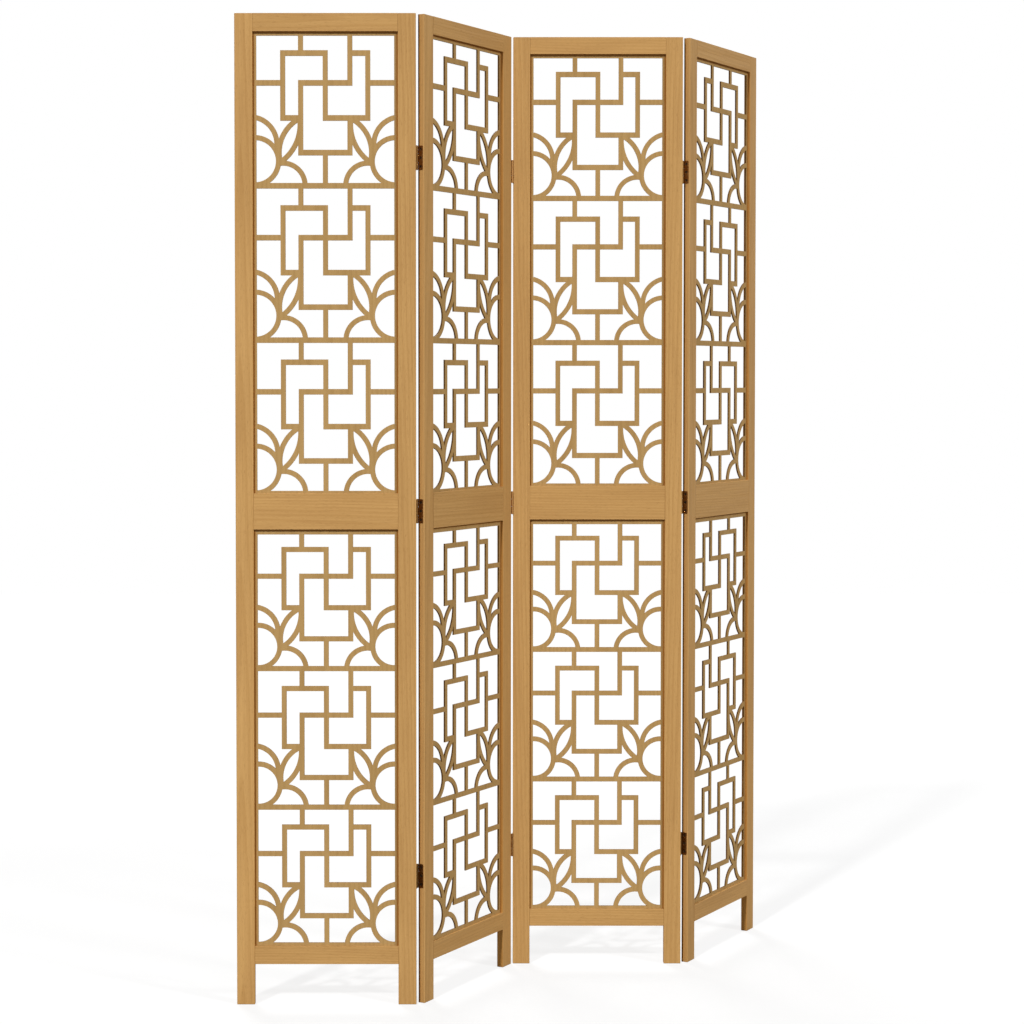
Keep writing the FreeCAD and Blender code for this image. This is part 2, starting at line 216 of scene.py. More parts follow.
class ShaderSketch:
    """A material's node tree, drawn with short calls."""

    def __init__(self, name: str) -> None:
        """Starts an empty node material.

        Args:
            name: The material's name.
        """
        self.material = bpy.data.materials.new(name)
        self.material.use_nodes = True
        self.tree = self.material.node_tree
        self.tree.nodes.clear()

    def node(self, kind: str, **settings: object) -> bpy.types.Node:
        """Adds a node.

        Args:
            kind: The node's type name.
            **settings: Its properties.

        Returns:
            The node.
        """
        made = self.tree.nodes.new(kind)
        for key, value in settings.items():
            setattr(made, key, value)
        return made

    def feed(self, sockets: Iterable[bpy.types.NodeSocket], *values: Value) -> None:
        """Links sockets, or sets their own numbers or colours.

        Args:
            sockets: The inputs.
            *values: For each, an output to link or a plain value.
        """
        for socket, value in zip(sockets, values):
            if isinstance(value, bpy.types.NodeSocket):
                self.tree.links.new(value, socket)
            elif isinstance(value, tuple) and len(socket.default_value) > len(value):
                socket.default_value = (*value, 1.0)
            else:
                socket.default_value = value

    def calc(self, operation: str, *values: Value, clamp: bool = False) -> bpy.types.NodeSocket:
        """A Math node.

        Args:
            operation: The node's operation.
            *values: Its inputs in order.
            clamp: Whether the result is kept between 0 and 1.

        Returns:
            The result's socket.
        """
        made = self.node("ShaderNodeMath", operation=operation, use_clamp=clamp)
        self.feed(made.inputs, *values)
        return made.outputs[0]

    def attribute(self, name: str, output: str = "Fac") -> bpy.types.NodeSocket:
        """Reads one of the piece's own attributes, as a number or as a "Vector"."""
        made = self.node("ShaderNodeAttribute", attribute_name=name, attribute_type="GEOMETRY")
        return made.outputs[output]

    def split(self, vector: Value) -> tuple[bpy.types.NodeSocket, ...]:
        """Takes a vector apart.

        Args:
            vector: The vector.

        Returns:
            The sockets of its three parts.
        """
        made = self.node("ShaderNodeSeparateXYZ")
        self.feed(made.inputs, vector)
        return tuple(made.outputs)

    def noise(self, place: Value, texture: Texture) -> bpy.types.NodeSocket:
        """Noise between 0 and 1, about 0.5 on average.

        Args:
            place: The vector that it is read at, in metres.
            texture: Its waves and layers.

        Returns:
            The noise's socket.
        """
        scaled = self.node("ShaderNodeVectorMath", operation="MULTIPLY")
        self.feed(scaled.inputs, place, texture.waves)
        made = self.node("ShaderNodeTexNoise", noise_dimensions="3D", normalize=True)
        self.feed((made.inputs[key] for key in ("Vector", "Scale", "Detail", "Roughness")),
                  scaled.outputs[0], 1.0, texture.layers, texture.rough)
        return made.outputs["Fac"]

    def ramp(self, value: Value, step: Step) -> bpy.types.NodeSocket:
        """Carries a value over a smooth step.

        Args:
            value: The input.
            step: Where the step lies and what it leads to.

        Returns:
            The result's socket.
        """
        made = self.node("ShaderNodeMapRange", interpolation_type="SMOOTHSTEP")
        self.feed(made.inputs, value, step.start, step.end, step.low, step.high)
        return made.outputs[0]

    def blend(self, factor: Value, a: Value, b: Value, kind: str = "MIX") -> bpy.types.NodeSocket:
        """Mixes two colours.

        Args:
            factor: How much of the second there is, from 0 to 1.
            a: The first colour.
            b: The second colour.
            kind: The Mix node's blend type.

        Returns:
            The result's socket.
        """
        made = self.node("ShaderNodeMix", data_type="RGBA", blend_type=kind, clamp_factor=True)
        self.feed((made.inputs[0], *made.inputs[6:8]), factor, a, b)
        return made.outputs[2]

    def bump(self, height: Value, distance: float, strength: float) -> bpy.types.NodeSocket:
        """Bends the normal over a fine relief.

        Args:
            height: The relief, between 0 and 1.
            distance: The height in metres that 1 stands for.
            strength: How strongly it shows.

        Returns:
            The normal's socket.
        """
        made = self.node("ShaderNodeBump")
        self.feed((made.inputs[key] for key in ("Strength", "Distance", "Height")),
                  strength, distance, height)
        return made.outputs[0]

    def surface(self, **inputs: Value) -> bpy.types.Material:
        """Ends the sketch in a Principled shader.

        Args:
            **inputs: The shader's inputs, with underscores for spaces.

        Returns:
            The finished material.
        """
        shader = self.node("ShaderNodeBsdfPrincipled")
        self.feed((shader.inputs[key.replace("_", " ")] for key in inputs), *inputs.values())
        self.feed(self.node("ShaderNodeOutputMaterial").inputs, shader.outputs[0])
        return self.material


@dataclass(frozen=True)
class WoodFinish:
    """Stained and lacquered wood, read along each board's own grain attribute.

    A relief is how high the pores and fibres stand in metres, and how strongly they show.
    """

    name: str
    early: Colour
    late: Colour
    dark: Colour
    ring: float = 4.2 * MM
    ring_share: float = 0.28
    ring_rise: Step = Step(0.30, 0.92)
    ring_fall: Step = Step(0.93, 1.0, 1.0, 0.0)
    taper: float = 0.012
    wobble: Texture = Texture((5.0, 22.0, 22.0), 3.0, 0.55)
    wobble_reach: float = 9.0 * MM
    figure: Texture = Texture((4.0, 24.0, 24.0), 2.0, 0.5)
    figure_share: Step = Step(0.35, 0.75, 0.02, 0.22)
    streak: Texture = Texture((3.0, 120.0, 120.0), 4.0, 0.6)
    streak_share: float = 0.46
    streak_rubbed: Step = Step(0.40, 0.65, 0.0, 0.35)
    streak_gloss: Step = Step(0.2, 0.8, -0.06, 0.08)
    fibre: Texture = Texture((9.0, 900.0, 900.0), 3.0, 0.6)
    fibre_share: Step = Step(0.30, 0.70, 0.22, 0.0)
    fibre_height: float = 0.4
    pore: Texture = Texture((110.0, 2400.0, 2400.0), 1.0, 0.5)
    pore_depth: Step = Step(0.30, 0.37, 1.0, 0.0)
    pore_share: float = 0.5
    speck_share: float = 1.0
    end_share: float = 0.55
    roughness: float = 0.52
    sheen: float = 0.12
    relief: tuple[float, float] = (0.05 * MM, 0.5)
    # Painted shade: the tint that darkens the wood where shade falls, and the dark painted shadow from 1 to 2.
    painted_shade_tint: Colour = (0.87, 0.73, 0.50)
    painted_shadow: Colour = (0.10, 0.045, 0.012)
    painted_shadow_from: Step = Step(1.0, 2.0)

    def painted_shade(self, sketch: ShaderSketch) -> bpy.types.NodeSocket:
        """Painted shade, from the board's own attribute; from 1 to 2 it turns to a dark painted shadow."""
        return sketch.attribute("stain")

    def material(self) -> bpy.types.Material:
        """Draws the finish.

        Growth rings are the distance from the pith, with a slow wobble, divided by the ring width. Fibres and
        streaks are noise stretched along the grain, and pores are its rare low values, cut short. Where shade
        is painted, the colour is multiplied by its tint, and from 1 to 2 the colour turns to a dark painted
        shadow.

        Returns:
            The material.
        """
        sketch = ShaderSketch(self.name)
        grain = sketch.attribute("grain", "Vector")
        along, across, depth = sketch.split(grain)
        shifted = sketch.calc("MULTIPLY_ADD", sketch.noise(grain, self.wobble), self.wobble_reach, across)
        squares = sketch.calc("MULTIPLY_ADD", shifted, shifted, sketch.calc("MULTIPLY", depth, depth))
        tapered = sketch.calc("MULTIPLY_ADD", along, self.taper, sketch.calc("SQRT", squares))
        phase = sketch.calc("FRACT", sketch.calc("DIVIDE", tapered, self.ring))
        late = sketch.calc("MULTIPLY", sketch.ramp(phase, self.ring_rise), sketch.ramp(phase, self.ring_fall))
        streak = sketch.noise(grain, self.streak)
        fibre = sketch.noise(grain, self.fibre)
        pore = sketch.ramp(sketch.noise(grain, self.pore), self.pore_depth)
        mixed = sketch.calc("MULTIPLY_ADD", late, self.ring_share,
                            sketch.calc("MULTIPLY", streak, self.streak_share))
        colour = sketch.blend(mixed, self.early, self.late)
        for share in (
            sketch.ramp(sketch.noise(grain, self.figure), self.figure_share),
            sketch.calc("MULTIPLY", sketch.ramp(fibre, self.fibre_share), self.speck_share),
            sketch.calc("MULTIPLY", pore, self.pore_share * self.speck_share),
            sketch.calc("MULTIPLY", sketch.attribute("end_grain"), self.end_share),
        ):
            colour = sketch.blend(share, colour, self.dark)
        colour = sketch.blend(1.0, colour, sketch.attribute("tone"), "MULTIPLY")
        # Lighter arrises where the lacquer is worn through.
        rubbed = sketch.calc("MULTIPLY", sketch.attribute("wear"), sketch.ramp(streak, self.streak_rubbed))
        colour = sketch.blend(rubbed, colour, self.early)
        # Painted shade: the wood is darkened by the tint, and turns to the dark painted shadow from 1 to 2.
        painted_shade = self.painted_shade(sketch)
        colour = sketch.blend(painted_shade, colour, sketch.blend(1.0, colour, self.painted_shade_tint, "MULTIPLY"))
        colour = sketch.blend(sketch.ramp(painted_shade, self.painted_shadow_from), colour, self.painted_shadow)
        relief = sketch.calc("SUBTRACT", sketch.calc("MULTIPLY", fibre, self.fibre_height), pore)
        return sketch.surface(
            Base_Color=colour, Specular_IOR_Level=self.sheen, Normal=sketch.bump(relief, *self.relief),
            Roughness=sketch.calc("ADD", sketch.ramp(streak, self.streak_gloss), self.roughness))


@dataclass(frozen=True)
class SheetFinish(WoodFinish):
    """The wood of a pierced sheet, with painted shade under the rail above and beside the stiles."""

    half_width: float = 120.0 * MM
    # How far from the frame the painted shade reaches.
    painted_shade_reach: float = 5.0 * MM

    def painted_shade(self, sketch: ShaderSketch) -> bpy.types.NodeSocket:
        """How much shade is painted, read from the place in the frame's opening.

        The distance to the stiles and to the rail above is the smaller of half width - |u| and
        half height - z, and the painted shade fades as that distance grows to its reach.
        None is painted over the rail below.

        Args:
            sketch: The material's sketch.

        Returns:
            The painted shade's socket, between 0 and 1.
        """
        u, z, half_height = sketch.split(sketch.attribute("opening", "Vector"))
        from_side = sketch.calc("SUBTRACT", self.half_width, sketch.calc("ABSOLUTE", u))
        from_head = sketch.calc("SUBTRACT", half_height, z)
        nearest = sketch.calc("MINIMUM", from_side, from_head)
        return sketch.ramp(nearest, Step(0.0, self.painted_shade_reach, 1.0, 0.0))


@dataclass(frozen=True)
class SawnEdgeFinish:
    """The dark stained wall that the saw leaves in a pierced sheet."""

    name: str
    stain: Colour
    worn: Colour
    marks: Texture = Texture((900.0, 900.0, 120.0), 3.0, 0.6)
    marks_worn: Step = Step(0.35, 0.75, 0.0, 0.4)
    marks_gloss: Step = Step(0.3, 0.7, -0.06, 0.1)
    patch: Texture = Texture((60.0, 60.0, 200.0), 3.0, 0.55)
    patch_worn: Step = Step(0.42, 0.75, 0.0, 0.6)
    roughness: float = 0.62
    sheen: float = 0.08
    relief: tuple[float, float] = (0.08 * MM, 0.6)

    def material(self) -> bpy.types.Material:
        """Draws the finish: fine saw marks across the wall's depth, and patches where the stain is thin.

        Returns:
            The material.
        """
        sketch = ShaderSketch(self.name)
        grain = sketch.attribute("grain", "Vector")
        marks = sketch.noise(grain, self.marks)
        share = sketch.calc("ADD", sketch.ramp(sketch.noise(grain, self.patch), self.patch_worn),
                            sketch.ramp(marks, self.marks_worn), clamp=True)
        return sketch.surface(
            Base_Color=sketch.blend(share, self.stain, self.worn), Specular_IOR_Level=self.sheen,
            Roughness=sketch.calc("ADD", sketch.ramp(marks, self.marks_gloss), self.roughness),
            Normal=sketch.bump(marks, *self.relief))


@dataclass(frozen=True)
class MetalFinish:
    """Metal with darker tarnish on Object coordinates, and a side worn by hands with a painted highlight."""

    name: str
    bright: Colour
    tarnish: Colour
    roughness: float
    tarnish_share: float
    glancing: Colour = WHITE
    # The brighter colour of the knuckles' outward side: wear from hands and a painted highlight.
    rubbed: Optional[Colour] = None
    clouds: Texture = Texture((260.0, 260.0, 170.0), 4.0, 0.6)
    cloud_tarnish: Step = Step(0.35, 0.68)
    cloud_gloss: Step = Step(0.3, 0.7, -0.05, 0.14)
    specks: Texture = Texture((1900.0, 1900.0, 1900.0), 2.0, 0.5)
    speck_tarnish: Step = Step(0.56, 0.72, 0.0, 0.3)
    rubbing: Texture = Texture((2600.0, 2600.0, 90.0), 2.0, 0.5)
    rubbing_gloss: Step = Step(0.3, 0.7, -0.04, 0.06)
    rubbing_height: float = 0.4
    relief: tuple[float, float] = (0.02 * MM, 0.35)

    def material(self) -> bpy.types.Material:
        """Draws the finish: tarnish clouds a few millimetres wide, finer specks, and fine upright rubbing.

        Where the piece's own attribute says so, the metal has its brighter colour instead,
        which stands for wear from hands and a painted highlight.

        Returns:
            The material.
        """
        sketch = ShaderSketch(self.name)
        place = sketch.node("ShaderNodeTexCoord").outputs["Object"]
        textures = (self.clouds, self.specks, self.rubbing)
        clouds, specks, rubbing = (sketch.noise(place, texture) for texture in textures)
        share = sketch.calc("MULTIPLY_ADD", sketch.ramp(clouds, self.cloud_tarnish), self.tarnish_share,
                            sketch.ramp(specks, self.speck_tarnish), clamp=True)
        colour = sketch.blend(share, self.bright, self.tarnish)
        # Wear from hands and a painted highlight where the piece's attribute marks its outward side.
        if self.rubbed is not None:
            colour = sketch.blend(sketch.attribute("rubbed"), colour, self.rubbed)
        clouded = sketch.calc("ADD", sketch.ramp(clouds, self.cloud_gloss), self.roughness)
        gloss = sketch.calc("ADD", clouded, sketch.ramp(rubbing, self.rubbing_gloss), clamp=True)
        relief = sketch.calc("MULTIPLY_ADD", rubbing, self.rubbing_height, specks)
        return sketch.surface(
            Base_Color=colour, Metallic=1.0, Roughness=gloss, Specular_Tint=self.glancing,
            Normal=sketch.bump(relief, *self.relief))


@dataclass(frozen=True)
class DowelFinish:
    """Plain pale turned wood for the hidden dowels, read on Object coordinates."""

    name: str
    light: Colour
    shade: Colour
    fibre: Texture = Texture((120.0, 120.0, 1500.0), 3.0, 0.6)
    fibre_shade: Step = Step(0.3, 0.7)
    roughness: float = 0.6
    relief: tuple[float, float] = (0.03 * MM, 0.4)

    def material(self) -> bpy.types.Material:
        """Draws the finish: fine streaks along the dowels, which lie level.

        Returns:
            The material.
        """
        sketch = ShaderSketch(self.name)
        fibre = sketch.noise(sketch.node("ShaderNodeTexCoord").outputs["Object"], self.fibre)
        colour = sketch.blend(sketch.ramp(fibre, self.fibre_shade), self.light, self.shade)
        return sketch.surface(
            Base_Color=colour, Roughness=self.roughness, Normal=sketch.bump(fibre, *self.relief))


@dataclass(frozen=True)
class Finishes:
    """All the finishes of the screen, each drawn once."""

    board: bpy.types.Material
    sheet: bpy.types.Material
    sawn_edge: bpy.types.Material
    bronze: bpy.types.Material
    pin: bpy.types.Material
    screw: bpy.types.Material
    dowel: bpy.types.Material

    @classmethod
    def mixed(cls) -> Finishes:
        """Mixes every finish.

        Returns:
            The set of materials.
        """
        return cls(
            board=WoodFinish("honey_board", early=(0.632, 0.372, 0.135), late=(0.45, 0.236, 0.07),
                             dark=(0.275, 0.125, 0.035)).material(),
            # The sheet darkens more strongly than the boards where its shade is painted.
            sheet=SheetFinish("honey_sheet", early=(0.498, 0.314, 0.124), late=(0.372, 0.221, 0.077),
                              dark=(0.236, 0.124, 0.036), ring=6.0 * MM, ring_share=0.3, speck_share=0.4,
                              roughness=0.56, sheen=0.04, painted_shade_tint=(0.74, 0.44, 0.15)).material(),
            # The sawn walls' dark colour is their own stained wood.
            sawn_edge=SawnEdgeFinish("stained_sawn_edge", stain=(0.17, 0.078, 0.016),
                                     worn=(0.27, 0.15, 0.045)).material(),
            # The bronze's brighter outward colour is wear from hands and a painted highlight.
            bronze=MetalFinish("aged_bronze", bright=(0.30, 0.15, 0.048), tarnish=(0.15, 0.07, 0.022),
                               roughness=0.20, tarnish_share=0.4, glancing=(0.55, 0.42, 0.28),
                               rubbed=(0.47, 0.245, 0.088)).material(),
            pin=MetalFinish("pin_steel", bright=(0.42, 0.34, 0.25), tarnish=(0.24, 0.17, 0.10),
                            roughness=0.30, tarnish_share=0.4).material(),
            screw=MetalFinish("blackened_screw", bright=(0.07, 0.040, 0.022), tarnish=(0.022, 0.013, 0.008),
                              roughness=0.42, tarnish_share=0.7, glancing=(0.4, 0.3, 0.22)).material(),
            dowel=DowelFinish("pale_dowel", light=(0.62, 0.44, 0.23), shade=(0.52, 0.34, 0.16)).material(),
        )


class PieceMaker:
    """Puts numpy surfaces into Blender meshes and lets the pieces ride on the CAD bodies."""

    FACE_WEIGHT = 80

    @staticmethod
    def mesh(name: str, points: np.ndarray, faces: Iterable[np.ndarray]) -> bpy.types.Mesh:
        """Makes a mesh from points and blocks of faces.

        Args:
            name: The mesh's name.
            points: The points, one row each.
            faces: Arrays of corner numbers, each with faces of one size.

        Returns:
            The mesh.
        """
        made = bpy.data.meshes.new(name)
        rows = [row for block in faces for row in np.asarray(block).tolist()]
        made.from_pydata(points.tolist(), [], rows)
        return made

    @staticmethod
    def tube(number: np.ndarray) -> list[np.ndarray]:
        """Joins rings of points with quads, from each ring to the next, and closes both ends.

        Args:
            number: The points' numbers, one row for each ring.

        Returns:
            The block of quads and the block of the two end faces.
        """
        beside = np.roll(number, -1, axis=1)
        quads = np.stack([number[:-1], beside[:-1], beside[1:], number[1:]], axis=2).reshape(-1, 4)
        return [quads, np.stack([number[0, ::-1], number[-1]])]

    @staticmethod
    def points_of(mesh: bpy.types.Mesh) -> np.ndarray:
        """Reads a mesh's points.

        Args:
            mesh: The mesh.

        Returns:
            The points, one row each.
        """
        flat = np.empty(len(mesh.vertices) * 3)
        mesh.vertices.foreach_get("co", flat)
        return flat.reshape(-1, 3)

    @staticmethod
    def mark(mesh: bpy.types.Mesh, **layers: np.ndarray) -> None:
        """Stores numbers or vectors on every point.

        Args:
            mesh: The mesh.
            **layers: Each attribute's values: one number or one row of three for each point.
        """
        for name, values in layers.items():
            kind, key = ("FLOAT_VECTOR", "vector") if values.ndim == 2 else ("FLOAT", "value")
            layer = mesh.attributes.new(name, kind, "POINT")
            layer.data.foreach_set(key, np.ascontiguousarray(values, dtype=np.float32).ravel())

    @staticmethod
    def shade(mesh: bpy.types.Mesh, sharp: float) -> None:
        """Shades a mesh smooth, but for edges that turn by the angle sharp, in degrees, or more."""
        mesh.shade_smooth()
        mesh.set_sharp_from_angle(angle=math.radians(sharp))

    @staticmethod
    def tidy(mesh: bpy.types.Mesh, sharp: float, merge: float = 0.002 * MM) -> None:
        """Merges doubles, drops faces that this leaves without area, and shades smooth up to a turn.

        Args:
            mesh: The mesh.
            sharp: The turn in degrees from which an edge stays sharp.
            merge: How near two points are to be one.
        """
        work = bmesh.new()
        work.from_mesh(mesh)
        bmesh.ops.remove_doubles(work, verts=work.verts, dist=merge)
        bmesh.ops.dissolve_degenerate(work, edges=work.edges, dist=merge)
        work.to_mesh(mesh)
        work.free()
        PieceMaker.shade(mesh, sharp)
        mesh.update()

    @staticmethod
    def weigh(piece: bpy.types.Object) -> bpy.types.Object:
        """Lets the large faces set the shading next to a rounded arris.

        Args:
            piece: The piece.

        Returns:
            The same piece.
        """
        made = piece.modifiers.new("even_shading", "WEIGHTED_NORMAL")
        made.keep_sharp = True
        made.weight = PieceMaker.FACE_WEIGHT
        return piece

    @staticmethod
    def place(mesh: bpy.types.Mesh, materials: Sequence[bpy.types.Material], body: str, slot: str,
              stands_for: Sequence[str]) -> bpy.types.Object:
        """Links a piece, dresses it and lets it ride on its body.

        Args:
            mesh: The finished mesh, whose name is the piece's name.
            materials: The piece's materials in slot order.
            body: The CAD body that it moves with.
            slot: The record's material slot, which is not used.
            stands_for: The CAD nodes that it replaces.

        Returns:
            The piece.
        """
        piece = linked(mesh.name, mesh)
        for material in materials:
            mesh.materials.append(material)
        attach(piece, body)
        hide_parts(*stands_for)
        LOG.info("%s rides on %s", piece.name, body)
        return piece


@dataclass(frozen=True)
class Groove:
    """A groove in a board's narrow side: from and to along the board, its floor, and its two walls."""

    edge: Edge
    start: float
    stop: float
    floor: float
    walls: tuple[float, float]
    stopped: bool


@dataclass(frozen=True)
class Trunk:
    """Where in the trunk a piece of wood was cut: how far along, across and deep, and how pale it is."""

    along: tuple[float, float] = (0.0, 20.0)
    across: tuple[float, float] = (-0.06, 0.06)
    deep: tuple[float, float] = (0.02, 0.05)
    tone: tuple[float, float] = (0.955, 1.005)

    def cut(self, node: str) -> tuple[np.ndarray, float]:
        """Draws one piece's place in the trunk and its tone, which belong to its CAD node's name.

        Args:
            node: The CAD node's name.

        Returns:
            The place as (along, across, deep), and the tone.
        """
        draw = seeded(node)
        place = np.array([draw.uniform(*limits) for limits in (self.along, self.across, self.deep)])
        return place, draw.uniform(*self.tone)


@dataclass
class Board:
    """One planed board of a panel's frame, with rounded arrises and the grooves for the sheets.

    Painted shade lies as 1 where the colour is darkened and as 2 where a dark shadow is painted.
    Shares are of the board's thickness.
    """

    node: str
    run: Run
    length: tuple[float, float]
    width: tuple[float, float]
    thickness: float
    grooves: list[Groove]
    arris: float
    end_ease: float
    arris_drift: float = 0.1
    drift_wave: float = 0.31
    least_arris: float = 0.08 * MM
    wear_band: float = 2.2 * MM
    # Painted shade on an upright's plain side: the dark painted shadow on the back arris, the level next to it,
    # and its rise towards the back.
    painted_shadow: float = 2.0
    painted_shadow_band: float = 1.7
    painted_shade_rise: float = 0.2
    end_grain_reach: float = 0.5
    plain_wall_shares: tuple[float, float] = (0.4, 0.6)
    corner_points: int = 5
    ease_points: int = 4
    station: float = 24.0 * MM
    sharp: float = 38.0
    trunk: Trunk = Trunk()

    def stations(self) -> tuple[np.ndarray, np.ndarray, np.ndarray, np.ndarray]:
        """Works out the sections along the board.

        The ends are eased with a quarter circle: at the angle a, the section stands ease * (1 - cos a) in
        from the end and is ease * (1 - sin a) smaller all round. Where a groove stops, two sections share
        one place.

        Returns:
            The places along the board, how much smaller each section is, and the groove's depth on the low
            and on the high side.
        """
        angle = np.linspace(0.0, QUARTER_TURN, self.ease_points)
        first, last = self.length
        run_in = self.end_ease * (1.0 - np.cos(angle))
        count = max(2, round((last - first) / self.station))
        middle = np.linspace(first + self.end_ease, last - self.end_ease, count)[1:-1]
        stops = [z for groove in self.grooves if groove.stopped for z in (groove.start, groove.stop)]
        places = np.sort(np.concatenate([first + run_in, middle, last - run_in, stops, stops]))
        from_end = np.minimum(places - first, last - places)
        cosine = np.clip(1.0 - from_end / self.end_ease, 0.0, 1.0)
        smaller = self.end_ease * (1.0 - np.sqrt(1.0 - cosine**2))
        second = np.concatenate([[False], places[1:] == places[:-1]])
        depths = {edge: np.zeros_like(places) for edge in Edge}
        for groove in self.grooves:
            inside = (places > groove.start) & (places < groove.stop)
            inside |= (places == groove.start) & second
            inside |= (places == groove.stop) & ~second
            inside |= not groove.stopped
            side = self.width[groove.edge.value]
            depths[groove.edge] = np.where(inside, abs(side - groove.floor), depths[groove.edge])
        return places, smaller, depths[Edge.LOW], depths[Edge.HIGH]

    def grooved(self, edge: Edge) -> bool:
        """Whether a narrow side has a groove."""
        return any(groove.edge is edge for groove in self.grooves)

    def stain_on(self, edge: Edge) -> tuple[float, float, float, float]:
        """How much shade is painted on a narrow side.

        It is painted over a grooved side, but not over a rail's upper one. On an upright's plain side it
        grows a little towards the back and turns to a dark painted shadow at the back arris.

        Args:
            edge: The side.

        Returns:
            The painted shade at the side's front, towards its back, near the back arris and on it.
        """
        cut = self.grooved(edge)
        if self.run is Run.UPRIGHT and not cut:
            return 0.0, self.painted_shade_rise, self.painted_shadow_band, self.painted_shadow
        painted_shade = float(cut and not (self.run is Run.LEVEL and edge is Edge.HIGH))
        return painted_shade, painted_shade, painted_shade, 1.0

    def corner(self, number: int, s: np.ndarray, v: np.ndarray, places: np.ndarray,
               smaller: np.ndarray) -> np.ndarray:
        """Works out one corner's arc at every station.

        A point of the arc is its centre plus the radius times (cos, sin) over a quarter turn. The first
        corner's arc starts at half a turn, and each next one's a quarter further on. The radius drifts
        slowly upwards from the arris along the board.

        Args:
            number: Which corner: 0 is front low, 1 front high, 2 back high and 3 back low.
            s: The sharp corner's place across the board, at every station.
            v: Its depth.
            places: The places along the board.
            smaller: How much smaller each section is.

        Returns:
            The arc's points, as stations by points by (width, depth).
        """
        wandered = wander(places, f"{self.node}_arris_{number}", self.drift_wave)
        drift = 1.0 + self.arris_drift * (1.0 + wandered)
        radius = np.maximum(self.arris * drift - smaller / 2.0, self.least_arris)[:, None]
        towards_s = np.sign(np.mean(self.width) - s[0])
        towards_v = np.sign(self.thickness / 2.0 - v[0])
        angle = (number + 2) % 4 * QUARTER_TURN + np.linspace(0.0, QUARTER_TURN, self.corner_points)
        return np.stack([s[:, None] + radius * (towards_s + np.cos(angle)),
                         v[:, None] + radius * (towards_v + np.sin(angle))], axis=2)

    @staticmethod
    def strip(*pairs: tuple[np.ndarray, Union[float, np.ndarray]]) -> np.ndarray:
        """Lays single points, each given as its (width, depth), at every station."""
        return np.stack([np.stack(np.broadcast_arrays(s, v), axis=1) for s, v in pairs], axis=1)

    def section(self, places: np.ndarray, smaller: np.ndarray, low: np.ndarray,
                high: np.ndarray) -> tuple[np.ndarray, np.ndarray, np.ndarray]:
        """Works out the closed section at every station.

        The section is a rectangle with a quarter circle at each corner, a band point a little way along
        each side and a square notch for each groove.

        Args:
            places: The places along the board.
            smaller: How much smaller each section is.
            low: The groove's depth on the low side.
            high: The groove's depth on the high side.

        Returns:
            The section's points as stations by points by (width, depth), each point's wear, and its painted shade.
        """
        s0, s1 = self.width[0] + smaller, self.width[1] - smaller
        v0, v1 = smaller, self.thickness - smaller
        plain = [share * self.thickness for share in self.plain_wall_shares]
        w0, w1 = self.grooves[0].walls if self.grooves else plain
        band = self.wear_band
        # Each side's painted shade, at its front, towards its back, near the back arris and on it.
        low_front, low_mid, low_band, low_back = self.stain_on(Edge.LOW)
        high_front, high_mid, high_band, high_back = self.stain_on(Edge.HIGH)
        parts = [
            (self.corner(0, s0, v0, places, smaller), 1.0, (low_front, 0.0)),
            (self.strip((s0 + band, v0), (s1 - band, v0)), 0.0, (0.0, 0.0)),
            (self.corner(1, s1, v0, places, smaller), 1.0, (0.0, high_front)),
            (self.strip((s1, v0 + band), (s1, w0), (s1 - high, w0), (s1 - high, w1), (s1, w1)),
             0.0, (high_front, high_mid)),
            (self.strip((s1, v1 - band)), 0.0, (high_band, high_band)),
            (self.corner(2, s1, v1, places, smaller), self.grooved(Edge.HIGH), (high_back, high_back - 1.0)),
            (self.strip((s1 - band, v1), (s0 + band, v1)), 0.0, (0.0, 0.0)),
            (self.corner(3, s0, v1, places, smaller), self.grooved(Edge.LOW), (low_back - 1.0, low_back)),
            (self.strip((s0, v1 - band)), 0.0, (low_band, low_band)),
            (self.strip((s0, w1), (s0 + low, w1), (s0 + low, w0), (s0, w0), (s0, v0 + band)),
             0.0, (low_mid, low_front)),
        ]
        wear = np.concatenate([np.full(part.shape[1], float(worn)) for part, worn, _ in parts])
        stain = np.concatenate([np.linspace(*ends, part.shape[1]) for part, _, ends in parts])
        return np.concatenate([part for part, _, _ in parts], axis=1), wear, stain

    def build(self, place: PanelPlace, body: str, finish: bpy.types.Material) -> bpy.types.Object:
        """Carries the section along the board and closes both ends.

        Args:
            place: The panel's place.
            body: The CAD body that the board moves with.
            finish: The board's finish.

        Returns:
            The board.
        """
        places, smaller, low, high = self.stations()
        rows, wear, stain = self.section(places, smaller, low, high)
        stations, around = rows.shape[:2]
        t = np.repeat(places, around)
        s, v = rows[:, :, 0].ravel(), rows[:, :, 1].ravel()
        blocks = PieceMaker.tube(np.arange(stations * around).reshape(stations, around))
        if self.run is Run.UPRIGHT:
            local = np.column_stack([s, v, t])
        else:
            local, blocks = np.column_stack([t, v, s]), [block[:, ::-1] for block in blocks]
        mesh = PieceMaker.mesh(self.node.replace("panel", "board"), place.to_frame(local), blocks)
        offset, tone = self.trunk.cut(self.node)
        from_end = np.minimum(t - self.length[0], self.length[1] - t)
        # Each point also carries its painted shade, beside the wood's own grain, wear, end grain and tone.
        PieceMaker.mark(
            mesh, grain=np.column_stack([t, s - sum(self.width) / 2.0, v]) + offset,
            wear=np.tile(wear, stations), stain=np.tile(stain, stations),
            end_grain=(from_end < self.end_ease * self.end_grain_reach).astype(float),
            tone=np.full(t.shape, tone))
        PieceMaker.tidy(mesh, self.sharp)
        return PieceMaker.weigh(PieceMaker.place(mesh, [finish], body, "frame_wood", [self.node]))


